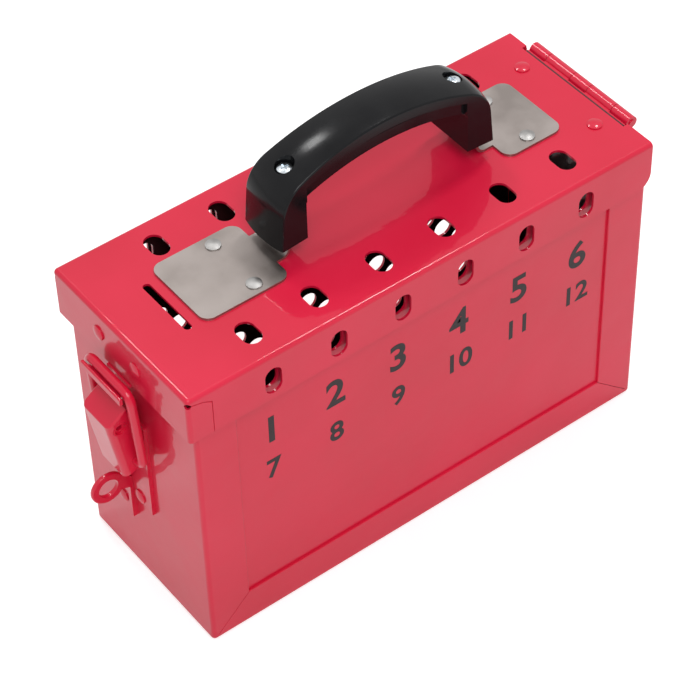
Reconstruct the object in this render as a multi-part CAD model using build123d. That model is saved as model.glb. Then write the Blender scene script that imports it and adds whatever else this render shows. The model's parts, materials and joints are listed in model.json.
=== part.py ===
from build123d import *
import math
import os

# Group lockout box. It stands on z = 0 with the middle of the body's underside at the origin.
# The latch end is at -X, the hinge end at +X and the front at -Y. All sizes are in mm.

os.makedirs("parts", exist_ok=True)

# Sheet and body
SHEET = 1.2
BEND_R = 2.0
BODY_HALF_L = 118.15
BODY_HALF_W = 45.0
LID_TOP = 154.8
WALL_DROP = 1.4
HINGE_WALL_DROP = 2.7
WALL_TOP = LID_TOP - WALL_DROP
HINGE_WALL_TOP = LID_TOP - HINGE_WALL_DROP
FLANGE_W = 18.9
LEFT_FLANGE_W = 19.8
RIGHT_FLANGE_W = 20.6
WINDOW_X0 = LEFT_FLANGE_W - BODY_HALF_L
WINDOW_X1 = BODY_HALF_L - RIGHT_FLANGE_W
WINDOW_EDGE_R = 0.4
MITRE_SLIT = 0.4
MITRE_END = 3.0
PANEL_INSET = 0.9

# Round holes of the back panel, in rows that are staggered by half a pitch
PANEL_HOLE_R = 4.85
HOLE_STEP_X = 9.69
HOLE_STEP_Z = 9.88
HOLE_MID_Z = 63.3
HOLE_COLUMNS = 9
HOLE_ROWS = range(-3, 6)

# Lid
LATCH_GAP = 4.0
LID_SHORT = 0.3
LID_OVER = 2.65
LID_X0 = -BODY_HALF_L - LATCH_GAP
LID_X1 = BODY_HALF_L - LID_SHORT
LID_HALF_W = BODY_HALF_W + LID_OVER
SKIRT_H = 24.0
SKIRT_Z = LID_TOP - SKIRT_H
LID_UNDER = LID_TOP - SHEET
SKIRT_CORNER_R = 8.0
RELIEF_R = 1.4
RELIEF_DROP = 3.2
TAB_W = 11.5
TAB_DROP = 6.8
SEAM = 0.4
SEAM_BENDS = [(7.5, 4.6), (1.5, RELIEF_DROP)]

# Slots
SLOT_PITCH = 32.5
SLOT_MID_X = 0.09
SLOT_COUNT = 6
SLOT_XS = [SLOT_MID_X + SLOT_PITCH * (k - (SLOT_COUNT - 1) / 2) for k in range(SLOT_COUNT)]
TOP_SLOT_L = 13.3
TOP_SLOT_W = 8.6
FRONT_ROW_IN = 13.35
BACK_ROW_IN = 12.75
TOP_SLOT_YS = [FRONT_ROW_IN - BODY_HALF_W, BODY_HALF_W - BACK_ROW_IN]
SIDE_SLOT_L = 13.6
SIDE_SLOT_W = 8.2
SIDE_SLOT_DROP = 14.1
SIDE_SLOT_Z = LID_TOP - SIDE_SLOT_DROP
KEY_SLOT_IN = 24.1
KEY_SLOT_X = LID_X0 + KEY_SLOT_IN
KEY_SLOT_Y = 0.4
KEY_SLOT_L = 32.0
KEY_SLOT_W = 3.5

# Hinge
HINGE_OUT = 3.1
HINGE_DROP = 2.2
HINGE_X = BODY_HALF_L + HINGE_OUT
HINGE_Z = LID_TOP - HINGE_DROP
HINGE_MID_Y = 1.85
BARREL_R = 3.0
PIN_R = 1.5
PIN_CLEAR = 0.05
KNUCKLES = [10.7, 16.1, 10.7, 16.1, 10.7]
KNUCKLE_GAP = 0.3
LEAF_T = 1.2
BODY_LEAF_DROP = 24.0
KNUCKLE_CLEAR = 0.6
KNUCKLE_ROOT = 0.6
PIN_PAST = 0.4
LID_LEAF_L = 21.0
LID_LEAF_X0 = HINGE_X - LID_LEAF_L
LEAF_RIVET_Y = 1.0
LEAF_RIVET_DY = 24.0
LID_RIVET_IN = 14.6
BODY_RIVET_DROP = 14.7
LID_LEAF_RIVET_X = HINGE_X - LID_RIVET_IN
BODY_LEAF_RIVET_Z = HINGE_Z - BODY_RIVET_DROP
NOTCH_HALF = 33.4
NOTCH_IN = 2.9
NOTCH_X = BODY_HALF_L - NOTCH_IN

# Rivets
SHANK_R = 1.6
SHANK_CLEAR = 0.05
HEAD_R = 3.4
HEAD_EDGE = 0.6
HEAD_H = 1.3
TAIL_R = 2.3
TAIL_H = 0.8

# Handle, measured from the point on the lid under its middle
GRIP_X = 6.3
GRIP_Y = 2.46
GRIP_HALF_L = 56.5
GRIP_HALF_W = 13.2
GRIP_WAIST_W = 11.0
GRIP_TOP = 48.4
GRIP_FOOT = 8.0
GRIP_BLANK = GRIP_TOP + 12.0
GRIP_DRAFT = 4.5
GRIP_ARCH_R = 115.0
GRIP_CORNER_R = 18.0
CROWN_RISE = 1.8
CROWN_LAP = 1.0
LEG_T = 15.0
ARCH_UNDER = 35.7
ARCH_UNDER_R = 110.0
ARCH_CORNER_R = 2.0
GRIP_EDGE_R = 0.8
GROOVE_DEPTH = 5.0
GROOVE_HALF_W = 7.0
GROOVE_END = 23.5
STRIP_H = 5.2
STRIP_HALF_W = 10.2
STRIP_END = 0.5
LINE_H = 1.1
LINE_HALF_W = 9.0
LEG_WALL = 2.2
STRAP_CLEAR = 0.4
POCKET_Z0 = 29.6
POCKET_Z1 = 33.8
SCREW_IN = 13.65
SCREW_X = GRIP_HALF_L - SCREW_IN
POCKET_REACH = 3.95
POCKET_X0 = SCREW_X - POCKET_REACH
SCREW_TOP = 38.9
SCREW_HEAD_R = 3.3
SCREW_HEAD_H = 2.0
SCREW_CROWN = 0.8
SCREW_R = 2.0
RECESS_R = 4.2
CROSS_L = 3.8
CROSS_W = 0.9
CROSS_D = 1.2
NUT_W = 7.0
NUT_H = 2.5
NUT_CLEAR = 0.05

# Handle plates
PLATE_T = 1.2
PLATE_HALF_W = 19.75
PLATE_CORNER_R = 5.0
PLATE_SHIFT = 0.85
LEFT_PLATE_L = 42.4
LEFT_RIVET_OUT = 14.6
RIGHT_PLATE_L = 30.6
RIGHT_RIVET_OUT = 15.0
LEFT_PLATE_NEAR = GRIP_HALF_L - PLATE_SHIFT
LEFT_PLATE_FAR = LEFT_PLATE_NEAR + LEFT_PLATE_L
LEFT_RIVET_X = LEFT_PLATE_NEAR + LEFT_RIVET_OUT
RIGHT_PLATE_NEAR = GRIP_HALF_L + PLATE_SHIFT
RIGHT_PLATE_FAR = RIGHT_PLATE_NEAR + RIGHT_PLATE_L
RIGHT_RIVET_X = RIGHT_PLATE_NEAR + RIGHT_RIVET_OUT
PLATE_RIVET_DY = 14.2
NECK_HALF_W = 9.5
NECK_TOP = 7.5
STRAP_HALF_W = 6.0
STRAP_IN = 8.2
STRAP_X = GRIP_HALF_L - STRAP_IN
STRAP_BEND_R = 5.0
TAB_REACH = 3.45
TAB_X0 = SCREW_X - TAB_REACH

# Latch, with d the distance out from the lid's end skirt and h the height above the lid's top
LATCH_Y = 2.0
WALL_D = -LATCH_GAP
FULCRUM_D = 8.1
FULCRUM_H = -43.8
TRUNNION_D = 2.2
TRUNNION_H = -66.0
BAR_D = 5.1
BAR_H = -21.9
WIRE_R = 2.1
BAIL_HALF = 15.0
BAIL_BEND_R = 4.6
TRUNNION_IN = 8.3
TRUNNION_CLEAR = 0.08
LEVER_T = 1.5
LEVER_HALF = 9.8
LEVER_EDGE_R = 3.0
LEVER_TOP_R = 1.0
LEVER_TOP_IN = (4.7, -34.0)
LEVER_TOP_OUT = (14.0, -40.5)
LEVER_LOW_OUT = (8.5, -73.8)
LEVER_LOW_IN = (1.5, -71.2)
LEVER_BACK_LOW = (-1.0, -69.3)
LEVER_BACK_HIGH = (-1.0, -62.6)
LEVER_HOLE_R = 3.5
COLLAR_R = 3.44
COLLAR_Y = 8.1
COLLAR_FLOOR = 0.5
PIN_HALF = 9.9
COLLAR_BORE_R = 2.75
EAR_HALF = 8.0
EAR_T = 1.5
EAR_R = 3.3
EAR_PIN_R = 2.2
EAR_PIN_CLEAR = 0.04
EAR_FOOT_HS = [-72.0, -60.0]
PIN_BORE_R = 1.4
BASE_T = 1.2
BASE_HALF = 9.8
BASE_H0 = -104.8
BASE_H1 = -51.0
RIM_H = 0.6
RIM_T = 1.3
BASE_RIVET_HS = [-101.2, -75.0]
BASE_RIVET_Y = LATCH_Y - 0.4
CATCH_T = 1.5
CATCH_HALF = 18.0
CATCH_TOP_H = -5.5
CATCH_RIVET_DY = 13.0
CATCH_RIVET_H = -11.2
NOSE_D = 0.9
NOSE_HALF = 8.0
NOSE_GAP = 0.3
LIP_T = 1.5
LIP_D = 7.9
LIP_TOP_H = -22.2
LIP_HALF = 14.0
LIP_ROUND = 0.7
LIP_SEAT = 0.1
LIP_IN_D = 3.2
SHELF_HALF = 10.2

# Padlock eye
EYE_Y = 6.8
EYE_T = 2.0
EYE_D = 9.1
EYE_H = -92.7
EYE_HOLE_R = 4.8
EYE_R = 8.1
NECK_H0 = -98.8
NECK_H1 = -93.2
NECK_ON_EYE_HIGH = (EYE_D - 5.0, EYE_H + 5.2)
NECK_ON_EYE_LOW = (EYE_D - 6.0, EYE_H - 4.4)
EYE_EDGE_R = 0.6
FOOT_GAP = 0.4
FOOT_W = 12.8
FOOT_H1 = BASE_H0 - FOOT_GAP
FOOT_H0 = FOOT_H1 - FOOT_W
FOOT_Y1 = 21.0
FOOT_T = 1.6
EYE_RIVET_Y = 15.0
EYE_RIVET_H = (FOOT_H0 + FOOT_H1) / 2
SEAT = 0.05

# How far a cutter runs past the sheet or piece that it cuts
PAST = 1.0
FAR_PAST = 20.0


def block(x0, x1, y0, y1, z0, z1):
    """A box between two opposite corners."""
    middle = Pos((x0 + x1) / 2, (y0 + y1) / 2, (z0 + z1) / 2)
    return middle * Box(abs(x1 - x0), abs(y1 - y0), abs(z1 - z0))


def rod(p, q, radius):
    """A round bar from point p to point q."""
    start = Vector(*p)
    along = Vector(*q) - start
    disc = Plane(origin=start, z_dir=along) * Circle(radius)
    return extrude(disc, amount=along.length)


def prism(points, y0, y1):
    """A flat shape given by its corners in x and z, carried from y0 to y1."""
    outline = Polyline(*[(x, y0, z) for x, z in points], close=True)
    return extrude(make_face(outline), amount=y1 - y0, dir=(0, 1, 0))


def disc_y(x, z, radius, y0, y1):
    """A round bar along Y."""
    return rod((x, y0, z), (x, y1, z), radius)


def picked(shape, test):
    """The edges of a shape whose middles pass a test."""
    return [edge for edge in shape.edges() if test(edge.center())]


def dome(radius, height):
    """A low round cap standing on z = 0."""
    ball_r = (radius ** 2 + height ** 2) / (2 * height)
    return (Pos(0, 0, height - ball_r) * Sphere(ball_r)) & block(
        -radius, radius, -radius, radius, 0, height
    )


def rivet(grip):
    """A rivet along Z with its head on top of z = 0 and its tail under the gripped sheets."""
    head = rod((0, 0, 0), (0, 0, HEAD_EDGE), HEAD_R)
    head += Pos(0, 0, HEAD_EDGE) * dome(HEAD_R, HEAD_H - HEAD_EDGE)
    shank = rod((0, 0, -grip - TAIL_H / 2), (0, 0, HEAD_H / 2), SHANK_R)
    tail = Pos(0, 0, -grip) * Rot(180, 0, 0) * dome(TAIL_R, TAIL_H)
    return head + shank + tail


def slot_tool(length, width, depth):
    """A round-ended cutter with its long way on Y and its middle at the origin."""
    outline = Rot(0, 0, 90) * SlotOverall(length, width)
    return extrude(outline, amount=depth / 2, both=True)


def group(pieces):
    """Separate solids that share one node."""
    return Compound([solid for piece in pieces for solid in piece.solids()])


def out(d):
    """World x of a point d outside the lid's end skirt."""
    return LID_X0 - d


def up(h):
    """World z of a point h above the lid's top."""
    return LID_TOP + h


HOLE_R = SHANK_R + SHANK_CLEAR
ALL_Y = LID_HALF_W + 3 * PAST

# Body: end walls and floor in one folded sheet, with narrow flanges on the front and the back
body = block(-BODY_HALF_L, BODY_HALF_L, -BODY_HALF_W, BODY_HALF_W, 0, WALL_TOP)
body = fillet(picked(body, lambda c: c.Z < WALL_TOP - 1), BEND_R)
inner_x = BODY_HALF_L - SHEET
inner_y = BODY_HALF_W - SHEET
room = block(-inner_x, inner_x, -inner_y, inner_y, SHEET, 2 * WALL_TOP)
room = fillet(picked(room, lambda c: c.Z < 2 * WALL_TOP - 1), BEND_R - SHEET)
body_wrap = body - room
body_wrap -= block(WINDOW_X0, WINDOW_X1, -ALL_Y, ALL_Y, FLANGE_W, 2 * WALL_TOP)
window_edges = picked(
    body_wrap,
    lambda c: abs(c.Y) > BODY_HALF_W - 0.1 and WINDOW_X0 - 0.1 < c.X < WINDOW_X1 + 0.1
    and c.Z > FLANGE_W - 0.1,
)
body_wrap = fillet(window_edges, WINDOW_EDGE_R)
body_wrap -= block(
    inner_x - PAST, BODY_HALF_L + PAST, HINGE_MID_Y - NOTCH_HALF, HINGE_MID_Y + NOTCH_HALF,
    HINGE_WALL_TOP, 2 * WALL_TOP,
)
for corner_x, window_x in [(-BODY_HALF_L, WINDOW_X0), (BODY_HALF_L, WINDOW_X1)]:
    step = math.copysign(MITRE_SLIT / 2, window_x)
    end_x = corner_x - math.copysign(MITRE_END, window_x)
    slit = [
        (window_x - step, FLANGE_W),
        (end_x - step, MITRE_END),
        (end_x + step, MITRE_END),
        (window_x + step, FLANGE_W),
    ]
    body_wrap -= prism(slit, -ALL_Y, -inner_y + 0.1)
    body_wrap -= prism(slit, inner_y - 0.1, ALL_Y)

# Front and back panels behind the flanges
panel_x = inner_x - PANEL_INSET
panel_solid = block(-panel_x, panel_x, -inner_y, -inner_y + SHEET, SHEET + PANEL_INSET, WALL_TOP)
side_slots = [
    Pos(x, 0, SIDE_SLOT_Z) * Rot(90, 0, 0) * slot_tool(SIDE_SLOT_L, SIDE_SLOT_W, 4 * LID_HALF_W)
    for x in SLOT_XS
]
front_panel = panel_solid - side_slots
back_panel = mirror(front_panel, about=Plane.XZ)
hole_mid_x = (WINDOW_X0 + WINDOW_X1) / 2
for row in HOLE_ROWS:
    for column in range(-HOLE_COLUMNS, HOLE_COLUMNS + 1):
        if (row + column) % 2 == 0:
            hole_x = hole_mid_x + column * HOLE_STEP_X
            hole_z = HOLE_MID_Z + row * HOLE_STEP_Z
            back_panel -= disc_y(hole_x, hole_z, PANEL_HOLE_R, inner_y - SHEET - PAST, inner_y + PAST)

# Lid: top and three skirts in one folded sheet, open at the hinge end
lid_box = block(LID_X0, LID_X1, -LID_HALF_W, LID_HALF_W, SKIRT_Z, LID_TOP)
lid_bends = picked(lid_box, lambda c: c.Z > SKIRT_Z + 1 and c.X < LID_X1 - 1)
lid_box = fillet(lid_bends, BEND_R)
lid_room = block(
    LID_X0 + SHEET, LID_X1 + FAR_PAST, -LID_HALF_W + SHEET, LID_HALF_W - SHEET,
    SKIRT_Z - FAR_PAST, LID_UNDER,
)
room_bends = picked(lid_room, lambda c: c.Z > SKIRT_Z - PAST - FAR_PAST / 2 and c.X < LID_X1 + PAST)
lid_room = fillet(room_bends, BEND_R - SHEET)
lid_shell = lid_box - lid_room
corner_x = LID_X1 - SKIRT_CORNER_R
corner_z = SKIRT_Z + SKIRT_CORNER_R
corner = block(corner_x, LID_X1 + PAST, -ALL_Y, ALL_Y, SKIRT_Z - PAST, corner_z)
lid_shell -= corner - disc_y(corner_x, corner_z, SKIRT_CORNER_R, -ALL_Y - PAST, ALL_Y + PAST)
lid_shell -= side_slots
for row_y in TOP_SLOT_YS:
    for x in SLOT_XS:
        lid_shell -= Pos(x, row_y, LID_TOP) * slot_tool(TOP_SLOT_L, TOP_SLOT_W, 4 * SHEET)
lid_shell -= Pos(KEY_SLOT_X, KEY_SLOT_Y, LID_TOP) * slot_tool(KEY_SLOT_L, KEY_SLOT_W, 4 * SHEET)
lid_shell -= block(
    NOTCH_X, LID_X1 + PAST, HINGE_MID_Y - NOTCH_HALF, HINGE_MID_Y + NOTCH_HALF,
    SKIRT_Z, LID_TOP + PAST,
)

# Relief holes at the lid's two folded corners and the seams of the tabs wrapped round them
seam_x = LID_X0 + TAB_W
seam_top = LID_TOP - TAB_DROP
seam = [(seam_x, SKIRT_Z - PAST), (seam_x + SEAM, SKIRT_Z - PAST), (seam_x + SEAM, seam_top + SEAM)]
seam += [(LID_X0 + x, LID_TOP - drop + SEAM) for x, drop in SEAM_BENDS]
seam += [(LID_X0 + x, LID_TOP - drop) for x, drop in reversed(SEAM_BENDS)]
seam.append((seam_x, seam_top))
for side in (-1, 1):
    relief_z = LID_TOP - RELIEF_DROP
    lid_shell -= rod(
        (LID_X0 - 3, side * (LID_HALF_W + 3), relief_z),
        (LID_X0 + 4, side * (LID_HALF_W - 4), relief_z),
        RELIEF_R,
    )
    face_y = side * LID_HALF_W
    lid_shell -= prism(seam, min(face_y - side * SEAM, face_y), max(face_y - side * SEAM, face_y))

# Hinge
knuckle_ends = []
knuckle_y = HINGE_MID_Y - sum(KNUCKLES) / 2
for length in KNUCKLES:
    knuckle_ends.append((knuckle_y, knuckle_y + length))
    knuckle_y += length
hinge_y0 = knuckle_ends[0][0]
hinge_y1 = knuckle_ends[-1][1]
bore = disc_y(HINGE_X, HINGE_Z, PIN_R + PIN_CLEAR, hinge_y0 - PAST, hinge_y1 + PAST)
leaf_x0 = BODY_HALF_L
leaf_x1 = BODY_HALF_L + LEAF_T
leaf_z0 = HINGE_Z - BODY_LEAF_DROP
leaf_z1 = HINGE_Z - BARREL_R - KNUCKLE_CLEAR
hinge_body_leaf = block(
    leaf_x0, leaf_x1, hinge_y0 + KNUCKLE_GAP / 2, hinge_y1 - KNUCKLE_GAP / 2, leaf_z0, leaf_z1
)
for k in (0, 2, 4):
    y0 = knuckle_ends[k][0] + KNUCKLE_GAP / 2
    y1 = knuckle_ends[k][1] - KNUCKLE_GAP / 2
    hinge_body_leaf += block(leaf_x0, leaf_x1, y0, y1, leaf_z1 - 1, HINGE_Z - KNUCKLE_ROOT)
    hinge_body_leaf += disc_y(HINGE_X, HINGE_Z, BARREL_R, y0, y1)
hinge_body_leaf -= bore

leaf_top = LID_UNDER
leaf_under = LID_UNDER - LEAF_T
lid_leaf_x1 = HINGE_X - BARREL_R - KNUCKLE_CLEAR
hinge_lid_leaf = block(
    LID_LEAF_X0, lid_leaf_x1, hinge_y0 + KNUCKLE_GAP / 2, hinge_y1 - KNUCKLE_GAP / 2,
    leaf_under, leaf_top,
)
for k in (1, 3):
    y0 = knuckle_ends[k][0] + KNUCKLE_GAP / 2
    y1 = knuckle_ends[k][1] - KNUCKLE_GAP / 2
    hinge_lid_leaf += block(lid_leaf_x1 - 1, HINGE_X - 1, y0, y1, leaf_under, leaf_top)
    hinge_lid_leaf += disc_y(HINGE_X, HINGE_Z, BARREL_R, y0, y1)
hinge_lid_leaf -= bore
hinge_pin = disc_y(HINGE_X, HINGE_Z, PIN_R, hinge_y0 - PIN_PAST, hinge_y1 + PIN_PAST)

leaf_rivet_ys = [LEAF_RIVET_Y - LEAF_RIVET_DY, LEAF_RIVET_Y + LEAF_RIVET_DY]
lid_leaf_rivets = []
body_leaf_rivets = []
for y in leaf_rivet_ys:
    lid_leaf_rivets.append(Pos(LID_LEAF_RIVET_X, y, LID_TOP) * rivet(SHEET + LEAF_T))
    body_leaf_rivets.append(
        Pos(leaf_x1, y, BODY_LEAF_RIVET_Z) * Rot(0, 90, 0) * rivet(SHEET + LEAF_T)
    )
    lid_hole = rod(
        (LID_LEAF_RIVET_X, y, leaf_under - PAST), (LID_LEAF_RIVET_X, y, LID_TOP + PAST), HOLE_R
    )
    lid_shell -= lid_hole
    hinge_lid_leaf -= lid_hole
    wall_hole = rod(
        (inner_x - PAST, y, BODY_LEAF_RIVET_Z), (leaf_x1 + PAST, y, BODY_LEAF_RIVET_Z), HOLE_R
    )
    body_wrap -= wall_hole
    hinge_body_leaf -= wall_hole

# Handle grip, drawn about its own middle and moved onto the lid last


def side_shape(inset):
    """The grip's outline from the side, moved in by an inset, with two rounded shoulders."""
    foot = GRIP_HALF_L - inset
    head = foot - GRIP_DRAFT
    blank = Polyline(
        (-foot, GRIP_FOOT), (foot, GRIP_FOOT), (head, GRIP_BLANK), (-head, GRIP_BLANK), close=True
    )
    shape = make_face(blank) & (Pos(0, GRIP_TOP - GRIP_ARCH_R) * Circle(GRIP_ARCH_R - inset))
    return fillet(shape.vertices().sort_by(Axis.Y)[-2:], GRIP_CORNER_R - inset)


def under_shape(rise, half_l):
    """The space under the arch, raised by some height and as long as asked."""
    reach = Pos(0, ARCH_UNDER / 2) * Rectangle(2 * half_l, 2 * ARCH_UNDER)
    return reach & (Pos(0, ARCH_UNDER - ARCH_UNDER_R) * Circle(ARCH_UNDER_R + rise))


# Crowned skin swept along the outline, on a plain core
crest = Plane.XZ * side_shape(0)
crest_path = Wire(picked(crest, lambda c: c.Z > GRIP_FOOT + 0.1))
crest_start = crest_path @ 0
crest_out = Vector(0, 1, 0).cross(crest_path % 0)
if crest_out.X * crest_start.X < 0:
    crest_out = -crest_out
crown_low = CROWN_RISE + 2 * CROWN_LAP
crown_lines = [
    Line((-crown_low, -GRIP_HALF_W), (-CROWN_RISE, -GRIP_HALF_W)),
    ThreePointArc((-CROWN_RISE, -GRIP_HALF_W), (0, 0), (-CROWN_RISE, GRIP_HALF_W)),
    Line((-CROWN_RISE, GRIP_HALF_W), (-crown_low, GRIP_HALF_W)),
    Line((-crown_low, GRIP_HALF_W), (-crown_low, -GRIP_HALF_W)),
]
crown_plane = Plane(origin=crest_start, x_dir=crest_out, z_dir=crest_path % 0)
grip = sweep(crown_plane * make_face(Wire(crown_lines)), path=crest_path)
grip += extrude(Plane.XZ * side_shape(CROWN_RISE + CROWN_LAP), amount=GRIP_HALF_W, both=True)
grip &= block(-2 * GRIP_HALF_L, 2 * GRIP_HALF_L, -ALL_Y, ALL_Y, GRIP_FOOT, GRIP_BLANK)

# Space under the arch, waisted sides and rounded outer edges
under_view = under_shape(0, GRIP_HALF_L - LEG_T)
under_view = fillet(under_view.vertices().sort_by(Axis.Y)[-2:], ARCH_CORNER_R)
grip -= extrude(Plane.XZ * under_view, amount=2 * GRIP_HALF_W, both=True)
waist_in = GRIP_HALF_W - GRIP_WAIST_W
waist_r = (GRIP_HALF_L ** 2 + waist_in ** 2) / (2 * waist_in)
for side in (-1, 1):
    waist_y = side * (GRIP_WAIST_W + waist_r)
    grip -= rod((0, waist_y, 0), (0, waist_y, GRIP_BLANK), waist_r)


def is_outer(c):
    """Whether an edge's middle lies on the grip's outer side edges, above the feet."""
    over_arch = c.Z > ARCH_UNDER + CROWN_LAP
    on_leg = abs(c.X) > GRIP_HALF_L - LEG_T + STRAP_CLEAR and c.Z > GRIP_FOOT + 0.1
    return abs(c.Y) > STRIP_HALF_W and (over_arch or on_leg)


grip = fillet(picked(grip, is_outer), GRIP_EDGE_R)

# Set-in strip along the arch, the line above it and the finger groove under it
strip_half_l = GRIP_HALF_L - LEG_T - STRIP_END
strip = under_shape(STRIP_H, strip_half_l)
line = under_shape(STRIP_H + LINE_H, strip_half_l) - strip
for view, half_w in [(strip, STRIP_HALF_W), (line, LINE_HALF_W)]:
    for side in (-1, 1):
        slab = block(
            -GRIP_HALF_L, GRIP_HALF_L, side * half_w, side * 2 * GRIP_HALF_W, 0, GRIP_TOP
        )
        grip -= extrude(Plane.XZ * view, amount=2 * GRIP_HALF_W, both=True) & slab
groove = under_shape(GROOVE_DEPTH, GRIP_HALF_L - GROOVE_END)
grip -= extrude(Plane.XZ * groove, amount=GROOVE_HALF_W, both=True)

leg_hole_x0 = GRIP_HALF_L - LEG_T + LEG_WALL
leg_hole_x1 = STRAP_X + PLATE_T + 2 * STRAP_CLEAR
leg_hole_y = STRAP_HALF_W + STRAP_CLEAR
screw_floor = SCREW_TOP - SCREW_HEAD_H - SCREW_CROWN
for side in (-1, 1):
    screw_x = side * SCREW_X
    grip -= block(side * leg_hole_x0, side * leg_hole_x1, -leg_hole_y, leg_hole_y, 0, POCKET_Z0)
    grip -= block(
        side * POCKET_X0, side * (STRAP_X + PLATE_T + STRAP_CLEAR), -leg_hole_y, leg_hole_y,
        POCKET_Z0, POCKET_Z1,
    )
    grip -= rod((screw_x, 0, screw_floor), (screw_x, 0, 2 * GRIP_TOP), RECESS_R)
    grip -= rod((screw_x, 0, POCKET_Z0), (screw_x, 0, GRIP_TOP), SCREW_R + SHANK_CLEAR)

# Screws with a cross recess, and the square nuts under the strap tabs
tab_top = POCKET_Z1 - 0.15
tab_under = tab_top - PLATE_T
nut_top = tab_under - SEAT
screw = rod((0, 0, nut_top - NUT_H + 0.2), (0, 0, screw_floor + 0.5), SCREW_R)
screw += rod((0, 0, screw_floor), (0, 0, screw_floor + SCREW_HEAD_H), SCREW_HEAD_R)
screw += Pos(0, 0, screw_floor + SCREW_HEAD_H) * dome(SCREW_HEAD_R, SCREW_CROWN)
for long_x, long_y in [(CROSS_L, CROSS_W), (CROSS_W, CROSS_L)]:
    screw -= block(
        -long_x / 2, long_x / 2, -long_y / 2, long_y / 2, SCREW_TOP - CROSS_D, SCREW_TOP + PAST
    )
nut = block(-NUT_W / 2, NUT_W / 2, -NUT_W / 2, NUT_W / 2, nut_top - NUT_H, nut_top)
nut -= rod((0, 0, nut_top - NUT_H - PAST), (0, 0, nut_top + PAST), SCREW_R + NUT_CLEAR)


def handle_plate(near, far, rivet_x):
    """A plate at +X of the handle's middle, with its neck and strap going up inside the leg."""
    flat = Pos((near + far) / 2, 0) * RectangleRounded(far - near, 2 * PLATE_HALF_W, PLATE_CORNER_R)
    plate = extrude(flat, amount=PLATE_T)
    bend_x = STRAP_X + STRAP_BEND_R
    plate += block(bend_x, near + PLATE_CORNER_R, -NECK_HALF_W, NECK_HALF_W, 0, PLATE_T)
    ring = disc_y(bend_x, STRAP_BEND_R, STRAP_BEND_R, -NECK_HALF_W, NECK_HALF_W)
    ring -= disc_y(bend_x, STRAP_BEND_R, STRAP_BEND_R - PLATE_T, -ALL_Y, ALL_Y)
    plate += ring & block(STRAP_X, bend_x, -NECK_HALF_W, NECK_HALF_W, 0, STRAP_BEND_R)
    strap_x1 = STRAP_X + PLATE_T
    plate += block(STRAP_X, strap_x1, -NECK_HALF_W, NECK_HALF_W, STRAP_BEND_R, NECK_TOP)
    plate += block(STRAP_X, strap_x1, -STRAP_HALF_W, STRAP_HALF_W, NECK_TOP, tab_top)
    plate += block(TAB_X0, strap_x1, -STRAP_HALF_W, STRAP_HALF_W, tab_under, tab_top)
    plate -= rod((SCREW_X, 0, tab_under - PAST), (SCREW_X, 0, tab_top + PAST), SCREW_R + SHANK_CLEAR)
    for y in (-PLATE_RIVET_DY, PLATE_RIVET_DY):
        plate -= rod((rivet_x, y, -PAST), (rivet_x, y, PLATE_T + PAST), HOLE_R)
    return plate


on_lid = Pos(GRIP_X, GRIP_Y, LID_TOP)
handle_grip = on_lid * grip
handle_plate_right = on_lid * handle_plate(RIGHT_PLATE_NEAR, RIGHT_PLATE_FAR, RIGHT_RIVET_X)
left_plate = mirror(handle_plate(LEFT_PLATE_NEAR, LEFT_PLATE_FAR, LEFT_RIVET_X), about=Plane.YZ)
handle_plate_left = on_lid * left_plate
handle_screws = [on_lid * Pos(x, 0, 0) * screw for x in (-SCREW_X, SCREW_X)]
handle_nuts = [on_lid * Pos(x, 0, 0) * nut for x in (-SCREW_X, SCREW_X)]
plate_rivets = []
for x in (-LEFT_RIVET_X, RIGHT_RIVET_X):
    for y in (-PLATE_RIVET_DY, PLATE_RIVET_DY):
        plate_rivets.append(on_lid * Pos(x, y, PLATE_T) * rivet(PLATE_T + SHEET))
        lid_shell -= on_lid * rod((x, y, -SHEET - PAST), (x, y, PAST), HOLE_R)

# Lid catch behind the end skirt, with a nose turned out under the skirt's lower edge
catch_d1 = -SHEET
catch_d0 = catch_d1 - CATCH_T
nose_top = -SKIRT_H - NOSE_GAP
nose_under = nose_top - CATCH_T
lid_catch = block(
    out(catch_d0), out(catch_d1), LATCH_Y - CATCH_HALF, LATCH_Y + CATCH_HALF,
    up(nose_top), up(CATCH_TOP_H),
)
lid_catch += block(
    out(catch_d0), out(NOSE_D), LATCH_Y - NOSE_HALF, LATCH_Y + NOSE_HALF,
    up(nose_under), up(nose_top),
)
catch_rivets = []
catch_rivet_z = up(CATCH_RIVET_H)
for y in (LATCH_Y - CATCH_RIVET_DY, LATCH_Y + CATCH_RIVET_DY):
    catch_rivets.append(Pos(LID_X0, y, catch_rivet_z) * Rot(0, -90, 0) * rivet(SHEET + CATCH_T))
    catch_hole = rod((out(catch_d0 - PAST), y, catch_rivet_z), (out(PAST), y, catch_rivet_z), HOLE_R)
    lid_shell -= catch_hole
    lid_catch -= catch_hole

# Bail wire: trunnion, leg, bar, leg and trunnion of one bent wire
wire_rise = math.hypot(BAR_D - TRUNNION_D, BAR_H - TRUNNION_H)
wire_plane = Plane(
    origin=(out(TRUNNION_D), LATCH_Y, up(TRUNNION_H)),
    x_dir=(0, 1, 0),
    z_dir=Vector(0, 1, 0).cross(Vector(out(BAR_D) - out(TRUNNION_D), 0, BAR_H - TRUNNION_H)),
)
wire_path = wire_plane * FilletPolyline(
    (-TRUNNION_IN, 0),
    (-BAIL_HALF, 0),
    (-BAIL_HALF, wire_rise),
    (BAIL_HALF, wire_rise),
    (BAIL_HALF, 0),
    (TRUNNION_IN, 0),
    radius=BAIL_BEND_R,
)
bail_wire = sweep(Plane(origin=wire_path @ 0, z_dir=wire_path % 0) * Circle(WIRE_R), path=wire_path)

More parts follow.
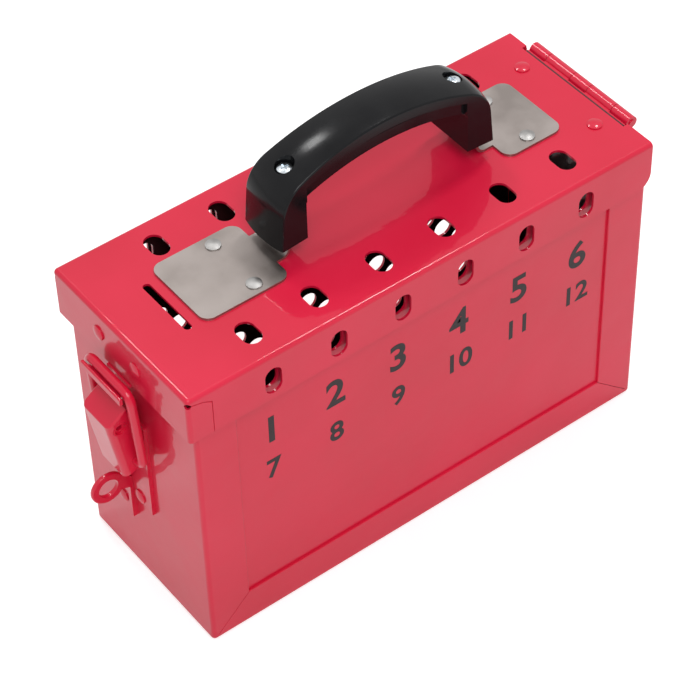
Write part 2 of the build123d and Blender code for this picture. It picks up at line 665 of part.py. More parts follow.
# Narrow lip outside the bar, with a shelf that passes under the bar's straight length
lip_z = BAR_H - WIRE_R - LIP_SEAT
bail_lip = block(
    out(LIP_D), out(LIP_D + LIP_T), LATCH_Y - LIP_HALF, LATCH_Y + LIP_HALF,
    up(lip_z - LIP_T), up(LIP_TOP_H),
)
bail_lip = fillet(bail_lip.edges().filter_by(Axis.Y).sort_by(Axis.Z)[-2:], LIP_ROUND)
bail_lip += block(
    out(LIP_IN_D), out(LIP_D + LIP_T), LATCH_Y - SHELF_HALF, LATCH_Y + SHELF_HALF,
    up(lip_z - LIP_T), up(lip_z),
)

# Lever: a channel open toward the wall with its upper end closed
lever_outline = [
    LEVER_TOP_IN, LEVER_TOP_OUT, LEVER_LOW_OUT, LEVER_LOW_IN, LEVER_BACK_LOW, LEVER_BACK_HIGH,
]
lever_points = [(out(d), up(h)) for d, h in lever_outline]
latch_lever = prism(lever_points, LATCH_Y - LEVER_HALF, LATCH_Y + LEVER_HALF)
web_mid = ((LEVER_TOP_OUT[0] + LEVER_LOW_OUT[0]) / 2, (LEVER_TOP_OUT[1] + LEVER_LOW_OUT[1]) / 2)
top_mid = ((LEVER_TOP_OUT[0] + LEVER_TOP_IN[0]) / 2, (LEVER_TOP_OUT[1] + LEVER_TOP_IN[1]) / 2)


def edges_at(shape, places):
    """The edges of a shape whose middles lie over one of some places given by d and h."""
    return picked(
        shape,
        lambda c: any(math.hypot(c.X - out(d), c.Z - up(h)) < 0.1 for d, h in places),
    )


latch_lever = fillet(edges_at(latch_lever, [web_mid]), LEVER_EDGE_R)
latch_lever = fillet(edges_at(latch_lever, [top_mid, LEVER_TOP_OUT]), LEVER_TOP_R)


def moved_in(p, q, step):
    """Ends of the line from p to q, moved sideways by step toward the wall."""
    run = math.hypot(q[0] - p[0], q[1] - p[1])
    nx = (q[1] - p[1]) / run * step
    nz = -(q[0] - p[0]) / run * step
    return (p[0] + nx, p[1] + nz), (q[0] + nx, q[1] + nz)


def crossing(a, b, c, e):
    """Where the line through a and b meets the line through c and e."""
    x1, z1, x2, z2 = a[0], a[1], b[0], b[1]
    x3, z3, x4, z4 = c[0], c[1], e[0], e[1]
    scale = (x1 - x2) * (z3 - z4) - (z1 - z2) * (x3 - x4)
    k = x1 * z2 - z1 * x2
    m = x3 * z4 - z3 * x4
    return (k * (x3 - x4) - (x1 - x2) * m) / scale, (k * (z3 - z4) - (z1 - z2) * m) / scale


web_a, web_b = moved_in(LEVER_TOP_OUT, LEVER_LOW_OUT, LEVER_T)
top_a, top_b = moved_in(LEVER_TOP_IN, LEVER_TOP_OUT, LEVER_T)
inside_corner = crossing(web_a, web_b, top_a, top_b)
web_reach = (
    web_b[0] + (web_b[0] - web_a[0]) * 0.3,
    web_b[1] + (web_b[1] - web_a[1]) * 0.3,
)
top_reach = (
    top_a[0] + (top_a[0] - top_b[0]) * 0.6,
    top_a[1] + (top_a[1] - top_b[1]) * 0.6,
)
channel = [
    inside_corner, web_reach, (-FAR_PAST, web_reach[1]), (-FAR_PAST, top_reach[1]), top_reach,
]
latch_lever -= prism(
    [(out(d), up(h)) for d, h in channel],
    LATCH_Y - LEVER_HALF + LEVER_T,
    LATCH_Y + LEVER_HALF - LEVER_T,
)
fulcrum = (out(FULCRUM_D), up(FULCRUM_H))
trunnion = (out(TRUNNION_D), up(TRUNNION_H))
latch_lever -= disc_y(*fulcrum, LEVER_HOLE_R, LATCH_Y - FAR_PAST, LATCH_Y + FAR_PAST)
latch_lever -= disc_y(*trunnion, WIRE_R + TRUNNION_CLEAR, LATCH_Y - FAR_PAST, LATCH_Y + FAR_PAST)

# Hollow pin of the lever with a wide collar at each end
lever_pin = disc_y(*fulcrum, EAR_PIN_R, LATCH_Y - PIN_HALF, LATCH_Y + PIN_HALF)
lever_pin += disc_y(*fulcrum, COLLAR_R, LATCH_Y - PIN_HALF, LATCH_Y - COLLAR_Y)
lever_pin += disc_y(*fulcrum, COLLAR_R, LATCH_Y + COLLAR_Y, LATCH_Y + PIN_HALF)
lever_pin -= disc_y(*fulcrum, PIN_BORE_R, LATCH_Y - FAR_PAST, LATCH_Y + FAR_PAST)
cup_y = COLLAR_Y + COLLAR_FLOOR
lever_pin -= disc_y(*fulcrum, COLLAR_BORE_R, LATCH_Y - FAR_PAST, LATCH_Y - cup_y)
lever_pin -= disc_y(*fulcrum, COLLAR_BORE_R, LATCH_Y + cup_y, LATCH_Y + FAR_PAST)

# Base bracket on the end wall with two ears that carry the pin
base_d = WALL_D + BASE_T
latch_base = block(
    out(WALL_D), out(base_d), LATCH_Y - BASE_HALF, LATCH_Y + BASE_HALF, up(BASE_H0), up(BASE_H1)
)
for side in (-1, 1):
    rim_y = LATCH_Y + side * BASE_HALF
    latch_base += block(
        out(WALL_D), out(base_d + RIM_H), rim_y - side * RIM_T, rim_y, up(BASE_H0), up(BASE_H1)
    )
    ear_y = [LATCH_Y + side * (EAR_HALF - EAR_T), LATCH_Y + side * EAR_HALF]
    ear = prism(
        [
            (out(WALL_D), up(EAR_FOOT_HS[1])),
            (out(FULCRUM_D - 3.1), up(FULCRUM_H - 1.1)),
            (out(FULCRUM_D + 2.6), up(FULCRUM_H - 2.0)),
            (out(WALL_D), up(EAR_FOOT_HS[0])),
        ],
        min(ear_y),
        max(ear_y),
    )
    ear += disc_y(*fulcrum, EAR_R, min(ear_y), max(ear_y))
    latch_base += ear
latch_base -= disc_y(*fulcrum, EAR_PIN_R + EAR_PIN_CLEAR, LATCH_Y - FAR_PAST, LATCH_Y + FAR_PAST)
latch_base_rivets = []
for h in BASE_RIVET_HS:
    head = Pos(out(base_d), BASE_RIVET_Y, up(h)) * Rot(0, -90, 0)
    latch_base_rivets.append(head * rivet(SHEET + BASE_T))
    base_hole = rod(
        (-inner_x + PAST, BASE_RIVET_Y, up(h)), (out(base_d + PAST), BASE_RIVET_Y, up(h)), HOLE_R
    )
    latch_base -= base_hole
    body_wrap -= base_hole

# Padlock eye: a standing ear with a round hole, its neck on the base and its foot on the wall
eye_y1 = EYE_Y + EYE_T
neck_d = base_d + SEAT
padlock_eye = disc_y(out(EYE_D), up(EYE_H), EYE_R, EYE_Y, eye_y1)
padlock_eye = fillet(padlock_eye.edges().filter_by(GeomType.CIRCLE), EYE_EDGE_R)
padlock_eye += prism(
    [
        (out(NECK_ON_EYE_HIGH[0]), up(NECK_ON_EYE_HIGH[1])),
        (out(neck_d), up(NECK_H1)),
        (out(neck_d), up(FOOT_H1)),
        (out(neck_d + FOOT_T), up(FOOT_H1)),
        (out(neck_d + FOOT_T), up(NECK_H0)),
        (out(NECK_ON_EYE_LOW[0]), up(NECK_ON_EYE_LOW[1])),
    ],
    EYE_Y,
    eye_y1,
)
padlock_eye += block(
    out(WALL_D), out(neck_d + FOOT_T), EYE_Y, eye_y1, up(FOOT_H0), up(FOOT_H1)
)
padlock_eye += block(
    out(WALL_D), out(WALL_D + FOOT_T), EYE_Y, FOOT_Y1, up(FOOT_H0), up(FOOT_H1)
)
padlock_eye -= disc_y(out(EYE_D), up(EYE_H), EYE_HOLE_R, EYE_Y - PAST, eye_y1 + PAST)
eye_hole = rod(
    (-inner_x + PAST, EYE_RIVET_Y, up(EYE_RIVET_H)),
    (out(WALL_D + FOOT_T + PAST), EYE_RIVET_Y, up(EYE_RIVET_H)),
    HOLE_R,
)
padlock_eye -= eye_hole
body_wrap -= eye_hole
eye_head = Pos(out(WALL_D + FOOT_T), EYE_RIVET_Y, up(EYE_RIVET_H)) * Rot(0, -90, 0)
eye_rivet = eye_head * rivet(SHEET + FOOT_T)

NODES = {
    "body_wrap": body_wrap,
    "front_panel": front_panel,
    "back_panel": back_panel,
    "hinge_body_leaf": hinge_body_leaf,
    "hinge_pin": hinge_pin,
    "body_leaf_rivets": group(body_leaf_rivets),
    "latch_base": latch_base,
    "latch_base_rivets": group(latch_base_rivets),
    "padlock_eye": padlock_eye,
    "eye_rivet": eye_rivet,
    "lever_pin": lever_pin,
    "lid_shell": lid_shell,
    "lid_catch": lid_catch,
    "catch_rivets": group(catch_rivets),
    "hinge_lid_leaf": hinge_lid_leaf,
    "lid_leaf_rivets": group(lid_leaf_rivets),
    "handle_plate_left": handle_plate_left,
    "handle_plate_right": handle_plate_right,
    "plate_rivets": group(plate_rivets),
    "handle_grip": handle_grip,
    "handle_screws": group(handle_screws),
    "handle_nuts": group(handle_nuts),
    "latch_lever": latch_lever,
    "bail_wire": bail_wire,
    "bail_lip": bail_lip,
}
for name, shape in NODES.items():
    export_step(shape, "parts/" + name + ".step")
    print(name, len(shape.solids()), shape.is_valid, round(shape.volume, 1))
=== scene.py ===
# %% [markdown]
# # A group lockout box, dressed for the camera
# The box is a red powder-coated steel case for twelve safety padlocks. Its lid has two rows of
# slots for shackles, a black moulded handle on two stainless plates, a pin hinge at one end and a
# toggle latch with a padlock eye at the other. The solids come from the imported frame. This script
# gives them their finishes, prints plain numbers on the front, and sets up the floor, the light
# and the camera.

# %% Load the frame
import json
import math

import bmesh
import bpy
from mathutils import Matrix, Vector


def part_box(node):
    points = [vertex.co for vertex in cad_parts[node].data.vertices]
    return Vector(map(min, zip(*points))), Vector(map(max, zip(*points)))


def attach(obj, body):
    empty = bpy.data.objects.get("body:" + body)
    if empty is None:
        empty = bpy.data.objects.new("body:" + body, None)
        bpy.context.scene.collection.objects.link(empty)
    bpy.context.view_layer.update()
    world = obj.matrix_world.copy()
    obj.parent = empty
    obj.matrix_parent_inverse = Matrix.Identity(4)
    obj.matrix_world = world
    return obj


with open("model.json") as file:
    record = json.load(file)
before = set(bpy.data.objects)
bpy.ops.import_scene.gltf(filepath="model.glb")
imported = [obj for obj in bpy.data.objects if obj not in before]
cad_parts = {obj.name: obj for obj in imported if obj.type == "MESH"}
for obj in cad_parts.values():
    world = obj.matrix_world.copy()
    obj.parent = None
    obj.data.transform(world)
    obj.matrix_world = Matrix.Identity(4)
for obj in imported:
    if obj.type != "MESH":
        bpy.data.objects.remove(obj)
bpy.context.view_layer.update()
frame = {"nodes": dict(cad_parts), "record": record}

print("nodes in the frame:", len(frame["nodes"]))

# %% [markdown]
# ## Building materials from small parts
# Every finish here is a graph of nodes: patterns that are worked out point by point and end in one
# shader. A picture could be wrapped round each piece instead, but it would need a map of every
# surface and would blur close up. The first helper starts a material. The second adds a noise
# pattern, read from Object coordinates. These are in metres and stay on the piece when it moves,
# so a pattern has the same scale on every piece.

# %% Start a material, and add a pattern


def start_material(name, metallic=0.0):
    """A new material with one Principled shader. Returns it, its nodes, links and shader."""
    material = bpy.data.materials.new(name)
    material.use_nodes = True
    nodes = material.node_tree.nodes
    links = material.node_tree.links
    shader = nodes["Principled BSDF"]
    shader.inputs["Metallic"].default_value = metallic
    return material, nodes, links, shader


def add_noise(nodes, links, scale, detail, stretch=(1.0, 1.0, 1.0)):
    """A noise pattern on Object coordinates. A larger scale gives smaller patches."""
    place = nodes.new("ShaderNodeTexCoord")
    mapping = nodes.new("ShaderNodeMapping")
    mapping.inputs["Scale"].default_value = stretch
    noise = nodes.new("ShaderNodeTexNoise")
    noise.inputs["Scale"].default_value = scale
    noise.inputs["Detail"].default_value = detail
    links.new(place.outputs["Object"], mapping.inputs["Vector"])
    links.new(mapping.outputs["Vector"], noise.inputs["Vector"])
    return noise.outputs["Fac"]


print("a material can be started, and a pattern added to it")

# %% [markdown]
# ## From a pattern to a finish
# One pattern can drive several things at once, as on a real surface, where a paler patch is often
# a little rougher too. Most values of a noise lie between 0.3 and 0.7, so that range is spread over
# a colour or a roughness. For fine relief the pattern is read as a height. A bump only tilts the
# light on the surface, which is right for grain that is thinner than a hair.

# %% Colour, roughness and relief
NOISE_LOW = 0.3
NOISE_HIGH = 0.7


def blend_colors(nodes, links, pattern, dark, light):
    """A colour that goes from dark to light with a pattern."""
    ramp = nodes.new("ShaderNodeValToRGB")
    ramp.color_ramp.elements[0].position = NOISE_LOW
    ramp.color_ramp.elements[1].position = NOISE_HIGH
    ramp.color_ramp.elements[0].color = (*dark, 1.0)
    ramp.color_ramp.elements[1].color = (*light, 1.0)
    links.new(pattern, ramp.inputs["Fac"])
    return ramp.outputs["Color"]


def vary_roughness(nodes, links, shader, pattern, smooth, rough):
    """The shader's roughness goes from smooth to rough with a pattern."""
    spread = nodes.new("ShaderNodeMapRange")
    spread.inputs["From Min"].default_value = NOISE_LOW
    spread.inputs["From Max"].default_value = NOISE_HIGH
    spread.inputs["To Min"].default_value = smooth
    spread.inputs["To Max"].default_value = rough
    links.new(pattern, spread.inputs["Value"])
    links.new(spread.outputs["Result"], shader.inputs["Roughness"])


def add_bump(nodes, links, shader, height, strength, distance, under=None):
    """Relief from a height pattern, with the relief of another bump under it if there is one."""
    bump = nodes.new("ShaderNodeBump")
    bump.inputs["Strength"].default_value = strength
    bump.inputs["Distance"].default_value = distance
    links.new(height, bump.inputs["Height"])
    if under is not None:
        links.new(under.outputs["Normal"], bump.inputs["Normal"])
    links.new(bump.outputs["Normal"], shader.inputs["Normal"])
    return bump


print("noise from", NOISE_LOW, "to", NOISE_HIGH, "is spread over each finish")

# %% [markdown]
# ## The inside, darkened with painted shade
# Seen through the slots, the inside is nearly black with shade, and that shade is painted into the
# colour of the inside faces.
# Inside and outside are faces of one mesh, which stays as the frame has it, so a mask in the
# material tells them apart. It is 1 where a point's own coordinates lie in a plain box, called a
# room, and 0 elsewhere, so it stays on the piece when the lid opens. The lid's skirts stand outside
# the walls, so the lid has a room of its own. Each room reaches a hair into the sheet, to take in
# the sheet's inner face.

# %% The rooms inside the walls and inside the lid
SHEET_T = 0.0012
SKIN = 0.00005

wrap_low, wrap_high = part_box("body_wrap")
lid_low, lid_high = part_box("lid_shell")
back_panel_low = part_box("back_panel")[0]
box_room_half = (wrap_high.x - SHEET_T + SKIN, back_panel_low.y + SKIN)
lid_room_half = (SKIN - SHEET_T - lid_low.x, lid_high.y - SHEET_T + SKIN)
room_floor = wrap_low.z + SHEET_T - SKIN
room_roof = lid_high.z - SHEET_T + SKIN
print("rooms in mm:", [round(2000 * side, 1) for side in box_room_half + lid_room_half])


def inside_shade_mask(nodes, links, room_half):
    """1 on the faces inside a room with these half lengths in x and y, and 0 outside it."""
    place = nodes.new("ShaderNodeTexCoord")
    split = nodes.new("ShaderNodeSeparateXYZ")
    links.new(place.outputs["Object"], split.inputs["Vector"])
    middle_z = (room_roof + room_floor) / 2
    mask = None
    for axis, middle, reach in [
        ("X", 0.0, room_half[0]),
        ("Y", 0.0, room_half[1]),
        ("Z", middle_z, room_roof - middle_z),
    ]:
        compare = nodes.new("ShaderNodeMath")
        compare.operation = "COMPARE"
        compare.inputs[1].default_value = middle
        compare.inputs[2].default_value = reach
        links.new(split.outputs[axis], compare.inputs[0])
        if mask is None:
            mask = compare.outputs["Value"]
            continue
        both = nodes.new("ShaderNodeMath")
        both.operation = "MULTIPLY"
        links.new(mask, both.inputs[0])
        links.new(compare.outputs["Value"], both.inputs[1])
        mask = both.outputs["Value"]
    return mask


# %% [markdown]
# ## Glossy red powder coat
# The coat is sprayed as powder and melts in an oven, so it flows into a smooth skin that is not
# quite flat: reflections wobble a little, as on the skin of an orange. The shader's clear coat
# gives the sharp white reflections, and a slow noise in its relief gives the wobble. A finer and
# weaker noise over it stands for specks in the coat. The plain values are set on the shader's own
# sockets, and only the colour, the roughness and the relief follow a pattern.

# %% The red finish
RED_DEEP = (0.60, 0.006, 0.034)
RED_BRIGHT = (0.68, 0.008, 0.046)
# RED_SHADOW is painted shade: the colour given to the inside faces, where little light gets in.
RED_SHADOW = (0.045, 0.010, 0.012)


def red_finish(name, room_half):
    """Glossy red powder coat, with painted shade that makes it nearly black inside a room."""
    material, nodes, links, shader = start_material(name)
    shader.inputs["Coat Weight"].default_value = 0.6
    shader.inputs["Coat Roughness"].default_value = 0.04
    shader.inputs["Coat IOR"].default_value = 1.5
    shader.inputs["Specular IOR Level"].default_value = 0.2
    tone = add_noise(nodes, links, scale=14.0, detail=3.0)
    # Inside the room the red is replaced by painted shade.
    where = nodes.new("ShaderNodeMix")
    where.data_type = "RGBA"
    links.new(inside_shade_mask(nodes, links, room_half), where.inputs["Factor"])
    links.new(blend_colors(nodes, links, tone, RED_DEEP, RED_BRIGHT), where.inputs["A"])
    where.inputs["B"].default_value = (*RED_SHADOW, 1.0)
    links.new(where.outputs["Result"], shader.inputs["Base Color"])
    vary_roughness(nodes, links, shader, tone, smooth=0.30, rough=0.40)
    wave = add_noise(nodes, links, scale=32.0, detail=2.0)
    specks = add_noise(nodes, links, scale=210.0, detail=2.0)
    waves = add_bump(nodes, links, shader, wave, strength=0.35, distance=0.0012)
    peel = add_bump(nodes, links, shader, specks, strength=0.16, distance=0.00022, under=waves)
    links.new(peel.outputs["Normal"], shader.inputs["Coat Normal"])
    return material


red_box = red_finish("red_powder_coat", box_room_half)
red_lid = red_finish("red_powder_coat_lid", lid_room_half)
print("red coats:", red_box.name, red_lid.name)

# %% [markdown]
# ## Black moulded plastic
# The handle comes out of a polished mould. It is nearly black, with one long soft highlight along
# its crown. A roughness of about a sixth spreads the highlight a little, where a mirror would show
# the whole room. One weak noise gives a trace of handling, and a fine one the flow marks.

# %% The black finish
PLASTIC_DARK = (0.005, 0.005, 0.006)
PLASTIC_LIGHT = (0.009, 0.009, 0.010)

black_plastic, nodes, links, shader = start_material("black_moulded")
shader.inputs["Specular IOR Level"].default_value = 0.2
handling = add_noise(nodes, links, scale=55.0, detail=4.0)
black = blend_colors(nodes, links, handling, PLASTIC_DARK, PLASTIC_LIGHT)
links.new(black, shader.inputs["Base Color"])
vary_roughness(nodes, links, shader, handling, smooth=0.13, rough=0.21)
flow = add_noise(nodes, links, scale=900.0, detail=2.0, stretch=(0.3, 1.0, 1.0))
add_bump(nodes, links, shader, flow, strength=0.10, distance=0.00008)
print("black plastic has", len(nodes), "nodes")

# %% [markdown]
# ## Rolled stainless sheet
# The plates under the handle are bare sheet. It is warm grey and dull, with cloudy patches from
# handling and a faint grain along the rolling direction. The grain could be drawn as scratches,
# one by one. It is easier to stretch one noise along Y, so that it reads as short lines.

# %% The stainless finish
STAINLESS_DARK = (0.31, 0.270, 0.250)
STAINLESS_LIGHT = (0.38, 0.335, 0.315)

stainless, nodes, links, shader = start_material("rolled_stainless", metallic=1.0)
cloud = add_noise(nodes, links, scale=60.0, detail=5.0)
grey = blend_colors(nodes, links, cloud, STAINLESS_DARK, STAINLESS_LIGHT)
links.new(grey, shader.inputs["Base Color"])
vary_roughness(nodes, links, shader, cloud, smooth=0.34, rough=0.52)
rolling = add_noise(nodes, links, scale=900.0, detail=3.0, stretch=(1.0, 0.04, 1.0))
add_bump(nodes, links, shader, rolling, strength=0.12, distance=0.00006)
print("stainless has", len(nodes), "nodes")

# %% [markdown]
# ## Zinc screws and aluminium rivets
# The two screws on the handle are bright zinc with a cold tone. The rivets in the plates are duller
# aluminium. Both are a metal shader with a cloudy tone and a fine grain, so one function makes
# both from other numbers.

# %% The small metal finishes
ZINC_DARK, ZINC_LIGHT = (0.55, 0.60, 0.64), (0.82, 0.86, 0.90)
RIVET_DARK, RIVET_LIGHT = (0.34, 0.33, 0.32), (0.46, 0.45, 0.44)
GRAIN_FINER = 12.0


def small_metal(name, dark, light, smooth, rough, scale):
    """A bare metal finish with a cloudy tone and roughness and a fine grain."""
    material, nodes, links, shader = start_material(name, metallic=1.0)
    patch = add_noise(nodes, links, scale, detail=4.0)
    links.new(blend_colors(nodes, links, patch, dark, light), shader.inputs["Base Color"])
    vary_roughness(nodes, links, shader, patch, smooth, rough)
    grain = add_noise(nodes, links, scale * GRAIN_FINER, detail=2.0)
    add_bump(nodes, links, shader, grain, strength=0.15, distance=0.00005)
    return material


screw_zinc = small_metal(
    "screw_zinc", ZINC_DARK, ZINC_LIGHT, smooth=0.18, rough=0.32, scale=300.0
)
rivet_metal = small_metal(
    "rivet_metal", RIVET_DARK, RIVET_LIGHT, smooth=0.40, rough=0.55, scale=220.0
)
print("small metals:", screw_zinc.name, rivet_metal.name)

# %% [markdown]
# ## Giving the CAD pieces their finishes
# The pieces that come from the frame keep their shape and place. They only get a material, and the
# record's slot that the finish belongs to is listed beside it and printed. One list says it for all
# of them, so a forgotten piece is easy to find. The lid's three red pieces take the coat with the
# lid's room.

# %% Finishes for the CAD pieces
FINISHES = [
    (
        "red_paint",
        red_box,
        [
            "body_wrap", "front_panel", "back_panel", "lid_leaf_rivets", "hinge_lid_leaf",
            "hinge_body_leaf", "body_leaf_rivets", "hinge_pin", "latch_base", "latch_base_rivets",
            "padlock_eye", "eye_rivet", "latch_lever", "lever_pin", "bail_wire", "bail_lip",
        ],
    ),
    ("red_paint", red_lid, ["lid_shell", "lid_catch", "catch_rivets"]),
    ("steel", stainless, ["handle_plate_left", "handle_plate_right"]),
    ("rivet_grey", rivet_metal, ["plate_rivets"]),
    ("black_plastic", black_plastic, ["handle_grip"]),
    ("screw_zinc", screw_zinc, ["handle_screws", "handle_nuts"]),
]
for slot_name, material, names in FINISHES:
    for name in names:
        piece = frame["nodes"][name]
        piece.data.materials.clear()
        piece.data.materials.append(material)
    print(slot_name, "on", len(names), "pieces:", material.name)

# %% [markdown]
# ## Plain numbers on the front
# Printing goes on the front panel over the red coat. Its place is filled by a plain number under
# each front slot, and a second row for the slots at the back. A number could be a pattern in the
# panel's material, but a thin mesh keeps its edges sharp from close by. It starts as a text curve
# with a slightly thickened stroke and becomes a mesh at once, before it gets its place.

# %% One number as a mesh
INK_T = 0.00008


def number_mesh(text, size, stroke):
    """The mesh of a number that lies in the XY plane with its middle at the origin."""
    curve = bpy.data.curves.new("number_" + text, "FONT")
    curve.body = text
    curve.size = size
    curve.offset = stroke
    curve.extrude = INK_T / 2
    curve.align_x = "CENTER"
    curve.align_y = "CENTER"
    holder = bpy.data.objects.new("number_" + text, curve)
    mesh = bpy.data.meshes.new_from_object(holder)
    bpy.data.objects.remove(holder)
    bpy.data.curves.remove(curve)
    return mesh


print("ink thickness in mm:", INK_T * 1000)

# %% [markdown]
# ## Two rows in one piece
# The twelve numbers are one print, so they are joined into one piece. Each is stood up against the
# panel and moved under its slot, whose middle comes from the record. A quarter of the ink's
# thickness is sunk into the panel, so that no gap shows between them.

# %% The printed numbers
INK_SUNK = INK_T / 4
NUMBER_ROWS = [
    {"first": 1, "height": 0.1080, "size": 0.0205, "stroke": 0.00045},
    {"first": 7, "height": 0.0850, "size": 0.0150, "stroke": 0.00032},
]

front_slots = [
    opening["box_m"]
    for opening in frame["record"]["physics"]["openings"]
    if opening["name"].startswith("front_slot_")
]
slot_middles = [(low[0] + high[0]) / 2 for low, high in front_slots]
panel_face_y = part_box("front_panel")[0].y
ink_y = panel_face_y + INK_SUNK - INK_T / 2
stand_up = Matrix.Rotation(math.radians(90), 4, "X")

ink_shape = bmesh.new()
for row in NUMBER_ROWS:
    for k, slot_x in enumerate(slot_middles):
        mesh = number_mesh(str(row["first"] + k), row["size"], row["stroke"])
        mesh.transform(Matrix.Translation((slot_x, ink_y, row["height"])) @ stand_up)
        ink_shape.from_mesh(mesh)
        bpy.data.meshes.remove(mesh)
number_data = bpy.data.meshes.new("slot_numbers")
ink_shape.to_mesh(number_data)
ink_shape.free()
slot_numbers = bpy.data.objects.new("slot_numbers", number_data)
bpy.context.scene.collection.objects.link(slot_numbers)
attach(slot_numbers, "box")
print("slots numbered:", len(slot_middles), "faces:", len(number_data.polygons))

# %% [markdown]
# ## Matte ink
# The print is dark grey, with no mirror in it. Pure black of one tone would look pasted on, so a
# fine noise makes the cover a little uneven, as screen printing on a bumpy coat is.

# %% The ink
INK_DARK = (0.024, 0.020, 0.022)
INK_LIGHT = (0.040, 0.032, 0.034)

ink, nodes, links, shader = start_material("matte_ink")
shader.inputs["Specular IOR Level"].default_value = 0.25
cover = add_noise(nodes, links, scale=700.0, detail=3.0)
links.new(blend_colors(nodes, links, cover, INK_DARK, INK_LIGHT), shader.inputs["Base Color"])
vary_roughness(nodes, links, shader, cover, smooth=0.40, rough=0.55)
add_bump(nodes, links, shader, cover, strength=0.2, distance=0.00003)
number_data.materials.append(ink)
print("ink on", slot_numbers.name)

# %% [markdown]
# ## A white background that doesn't bleach the red
# The photograph's background is pure white, and its light is soft and even. A world bright enough
# to look white would also bleach the object. The Light Path node tells which kind of ray is asking,
# so the world and the floor can show one strength to the camera, one to gloss and one to the light
# that falls on things. Clear things show the background as the camera sees it.

# %% A strength for each kind of ray


def glow_where_seen(nodes, links, strength, on_things, in_gloss, seen):
    """One strength for the light on things, one for what gloss shows and one for the camera."""
    path = nodes.new("ShaderNodeLightPath")
    value = None
    for ray, level in [
        ("Is Glossy Ray", in_gloss),
        ("Is Transmission Ray", seen),
        ("Is Camera Ray", seen),
    ]:
        pick = nodes.new("ShaderNodeMix")
        pick.inputs["A"].default_value = on_things
        pick.inputs["B"].default_value = level
        if value is not None:
            links.new(value, pick.inputs["A"])
        links.new(path.outputs[ray], pick.inputs["Factor"])
        value = pick.outputs["Result"]
    links.new(value, strength)


print("kinds of ray: on things, in gloss, seen")

# %% [markdown]
# ## Floor
# The box stands on a sheet of pale paper, which takes its soft shadow. A curved backdrop could hide
# the horizon. Here the world is as white as the lit paper, so a large flat sheet is enough. The
# paper also glows a little for the camera, so that it is white where no shadow falls.

# %% The paper floor
PAPER_DARK = (0.85, 0.85, 0.85)
PAPER_LIGHT = (0.87, 0.87, 0.87)
FLOOR_HALF = 4.0

floor_mesh = bpy.data.meshes.new("floor")
shape = bmesh.new()
bmesh.ops.create_grid(shape, x_segments=1, y_segments=1, size=FLOOR_HALF)
shape.to_mesh(floor_mesh)
shape.free()
floor = bpy.data.objects.new("floor", floor_mesh)
bpy.context.scene.collection.objects.link(floor)

floor_paper, nodes, links, shader = start_material("floor_paper")
shader.inputs["Roughness"].default_value = 0.9
shader.inputs["Specular IOR Level"].default_value = 0.1
fibres = add_noise(nodes, links, scale=40.0, detail=3.0)
paper = blend_colors(nodes, links, fibres, PAPER_DARK, PAPER_LIGHT)
links.new(paper, shader.inputs["Base Color"])
shader.inputs["Emission Color"].default_value = (1.0, 1.0, 1.0, 1.0)
glow_where_seen(
    nodes, links, shader.inputs["Emission Strength"], on_things=0.0, in_gloss=0.02, seen=0.42
)
floor_mesh.materials.append(floor_paper)
print("floor is", floor.dimensions.x, "m wide")

# %% [markdown]
# ## The white room around it
# White walls could be built around the box, but they would show in some views. The world stands
# for them. It lights the object from all sides at a bit over half strength, is a little under white
# where gloss mirrors it, and is white for the camera.

# %% World light
WORLD_ON_THINGS = 0.55
WORLD_IN_GLOSS = 0.8
WORLD_SEEN = 1.0

world = bpy.data.worlds.new("white_room")
bpy.context.scene.world = world
world.use_nodes = True
nodes = world.node_tree.nodes
links = world.node_tree.links
room_light = nodes["Background"]
room_light.inputs["Color"].default_value = (1.0, 1.0, 1.0, 1.0)
glow_where_seen(
    nodes, links, room_light.inputs["Strength"], WORLD_ON_THINGS, WORLD_IN_GLOSS, WORLD_SEEN
)
print("world strength", WORLD_ON_THINGS, WORLD_IN_GLOSS, WORLD_SEEN)

# %% [markdown]
# ## Three lamps
# One large lamp above and in front gives the main light, the highlight on the handle and the soft
# shadow. Its size makes the shadow's edge soft. Two small lamps hang high beyond the box, one for
# the lid's front bend and one for its left bend. The bends mirror them as thin bright lines, which
# a room that is white all round can't give.

# %% Lamps


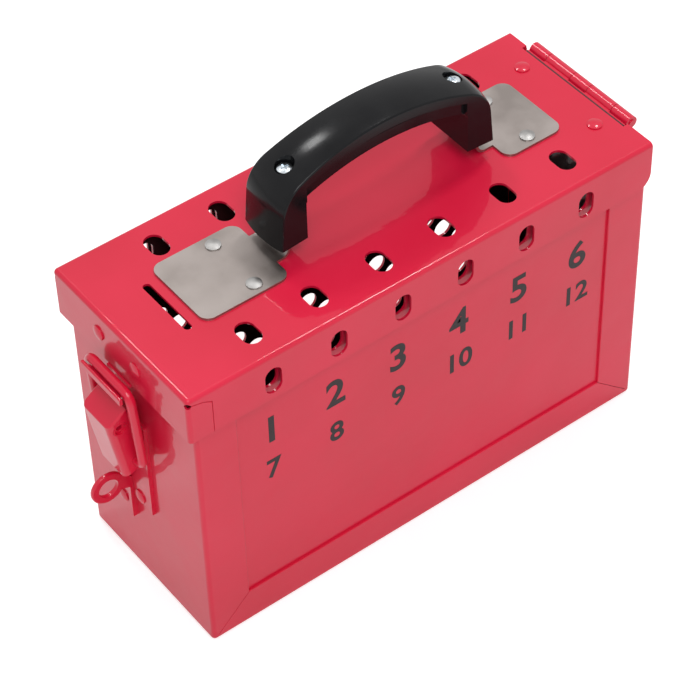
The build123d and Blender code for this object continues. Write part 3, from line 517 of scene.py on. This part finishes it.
def soft_lamp(name, place, aim, width, watts):
    """A square area lamp that looks at a point."""
    data = bpy.data.lights.new(name, "AREA")
    data.shape = "SQUARE"
    data.size = width
    data.energy = watts
    lamp = bpy.data.objects.new(name, data)
    lamp.location = place
    lamp.rotation_euler = (Vector(aim) - Vector(place)).to_track_quat("-Z", "Y").to_euler()
    bpy.context.scene.collection.objects.link(lamp)
    return lamp


BOX_MIDDLE = (0.0, 0.0, 0.10)
LID_MIDDLE = (0.0, 0.0, 0.15)
key = soft_lamp("key", (-0.5, -0.9, 1.5), BOX_MIDDLE, width=0.9, watts=14.0)
edge_front = soft_lamp("edge_front", (0.57, 0.18, 1.40), LID_MIDDLE, width=0.20, watts=4.2)
edge_left = soft_lamp("edge_left", (0.05, 0.80, 1.32), LID_MIDDLE, width=0.20, watts=2.4)
print("lamps:", key.name, edge_front.name, edge_left.name)

# %% [markdown]
# ## Camera
# The camera stands up and to the left of the front, with a long lens, as in the photograph. Aimed
# by eye it would be a little off everywhere, so its place and direction came from matching the
# lid's corners and slots. It also leans a little to one side, so its right and up are turned about
# the line of sight. The lens is written in millimetres for a sensor 36 mm wide.

# %% Camera
CAMERA_PLACE = Vector((-0.47675, -0.6412, 0.8961))
LOOK = Vector((0.4078, 0.5650, -0.7173)).normalized()
LEAN = math.radians(-1.921)
LENS_MM = 139.39
SENSOR_MM = 36.0

level_right = LOOK.cross(Vector((0, 0, 1))).normalized()
level_up = level_right.cross(LOOK)
cam_right = math.cos(LEAN) * level_right + math.sin(LEAN) * level_up
cam_up = -math.sin(LEAN) * level_right + math.cos(LEAN) * level_up
camera_data = bpy.data.cameras.new("camera")
camera_data.lens = LENS_MM
camera_data.sensor_width = SENSOR_MM
camera = bpy.data.objects.new("camera", camera_data)
turn = Matrix((cam_right, cam_up, -LOOK)).transposed().to_4x4()
camera.matrix_world = Matrix.Translation(CAMERA_PLACE) @ turn
bpy.context.scene.collection.objects.link(camera)
bpy.context.scene.camera = camera
bpy.context.scene.view_settings.view_transform = "Standard"
print("camera at", tuple(round(v, 3) for v in camera.location), "lens", LENS_MM)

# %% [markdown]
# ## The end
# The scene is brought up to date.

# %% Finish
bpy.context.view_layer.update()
